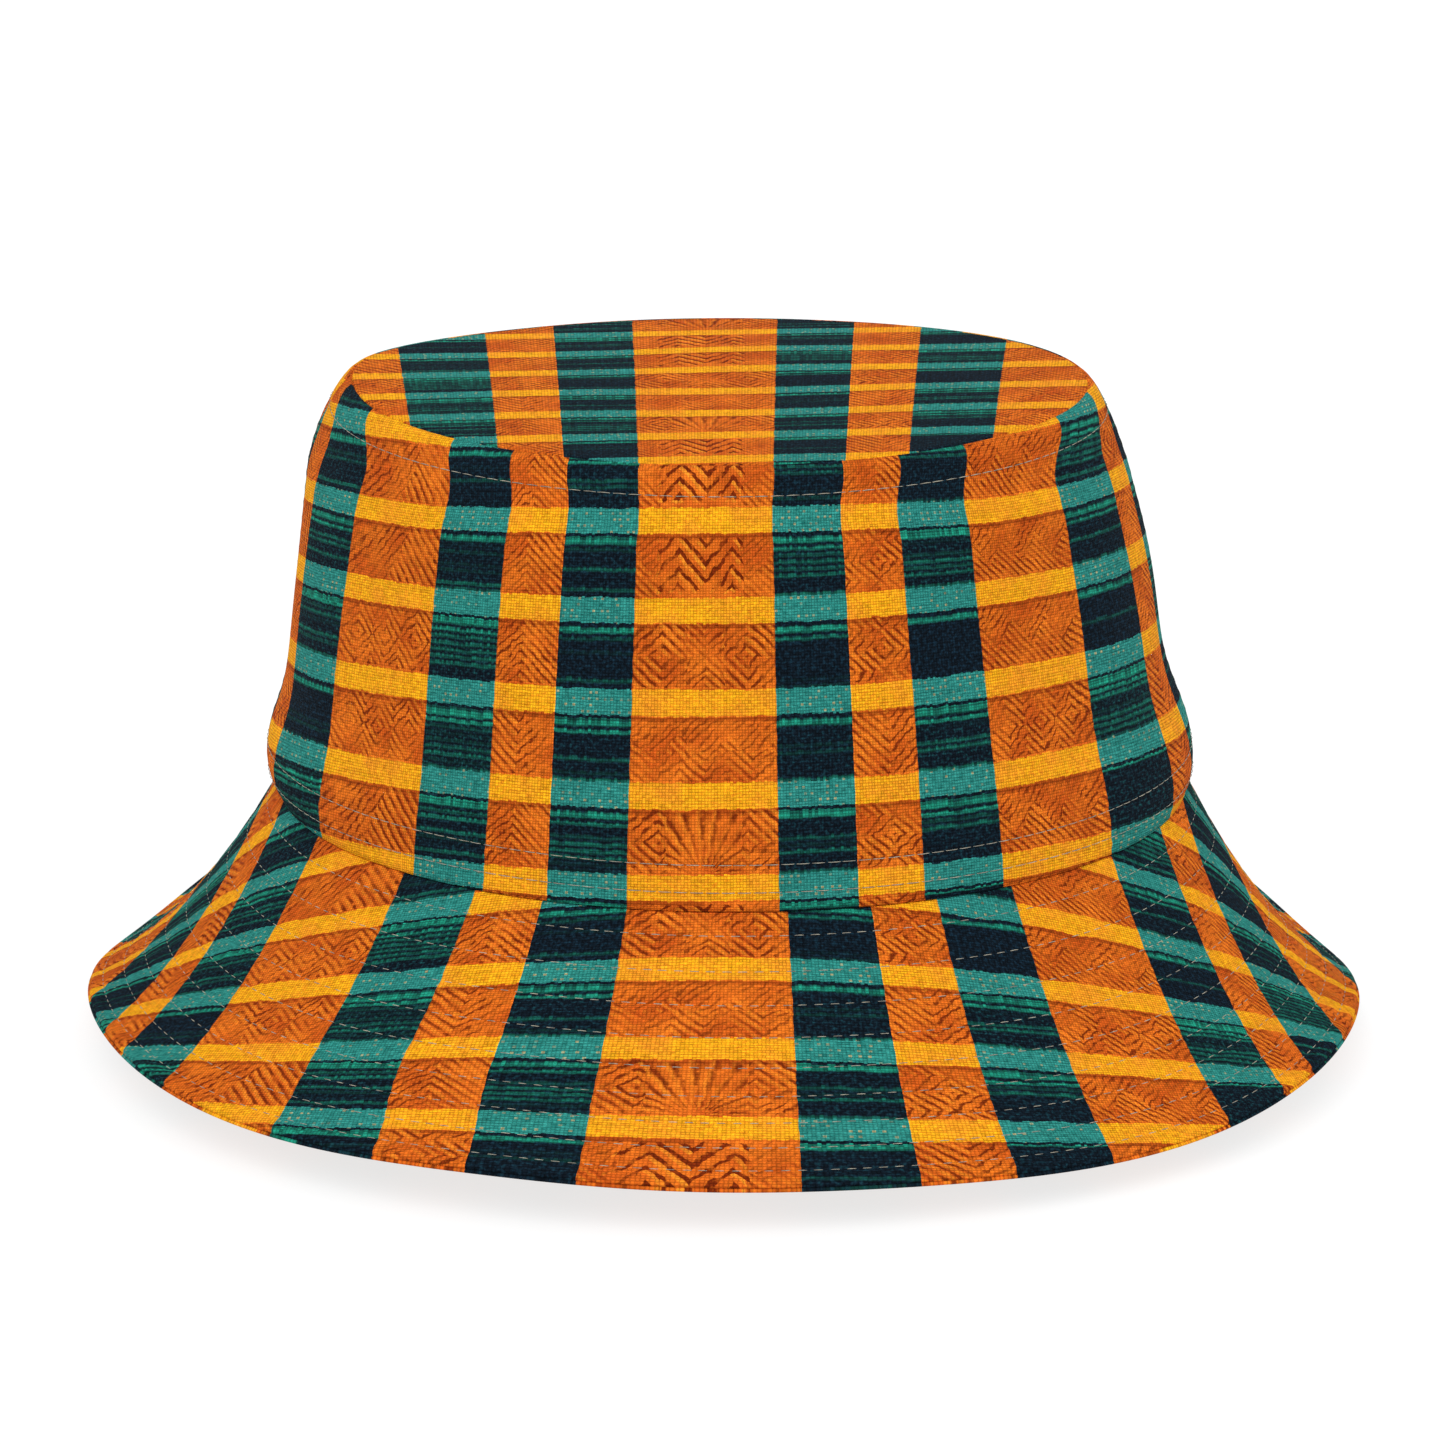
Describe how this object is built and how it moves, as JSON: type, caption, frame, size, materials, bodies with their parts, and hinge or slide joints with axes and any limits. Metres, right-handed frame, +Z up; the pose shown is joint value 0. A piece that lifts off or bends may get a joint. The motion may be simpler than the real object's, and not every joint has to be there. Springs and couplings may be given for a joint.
{
  "type": "bucket hat",
  "caption": "Lined cloth bucket hat: oval tip, tapered side band and a down-sloping brim with stitched rows; the brim turns up and the crown packs flat.",
  "frame": {"origin": "centre of the head opening's oval, on the plane that the brim's hem rests on", "axes": "+Z up through the crown, -Y to the wearer's front, +X to the wearer's left"},
  "size_m": [0.262, 0.283, 0.128],
  "materials": {
    "printed_cloth": "plain-weave print of orange, navy, yellow and teal",
    "lining_cloth": "light plain-weave lining",
    "interlining": "stiff non-woven",
    "sweatband_tape": "twill tape",
    "label_tape": "blank satin tape",
    "thread": "spun sewing thread"
  },
  "bodies": {
    "crown": {"side_panel_front": "printed_cloth", "side_panel_back": "printed_cloth", "lining_side_front": "lining_cloth", "lining_side_back": "lining_cloth", "sweatband": "sweatband_tape", "care_label": "label_tape", "tip_topstitch": "thread", "side_seam_topstitch": "thread", "head_seam_topstitch": "thread", "sweatband_stitch": "thread"},
    "crown_top": {"crown_tip": "printed_cloth", "lining_tip": "lining_cloth"},
    "brim": {"brim_upper_front": "printed_cloth", "brim_upper_back": "printed_cloth", "brim_interlining_front": "interlining", "brim_interlining_back": "interlining", "brim_lower_front": "printed_cloth", "brim_lower_back": "printed_cloth", "brim_topstitch": "thread", "brim_underside_stitch": "thread"}
  },
  "joints": [
    {"name": "crown_push_in", "type": "slide", "parent": "crown", "child": "crown_top", "axis": [0, 0, -1], "range_m": [0, 0.045], "stiffness_N_per_m": 60},
    {"name": "brim_turn_up", "type": "slide", "parent": "crown", "child": "brim", "axis": [0, 0, 1], "range_m": [0, 0.09], "stiffness_N_per_m": 100}
  ]
}
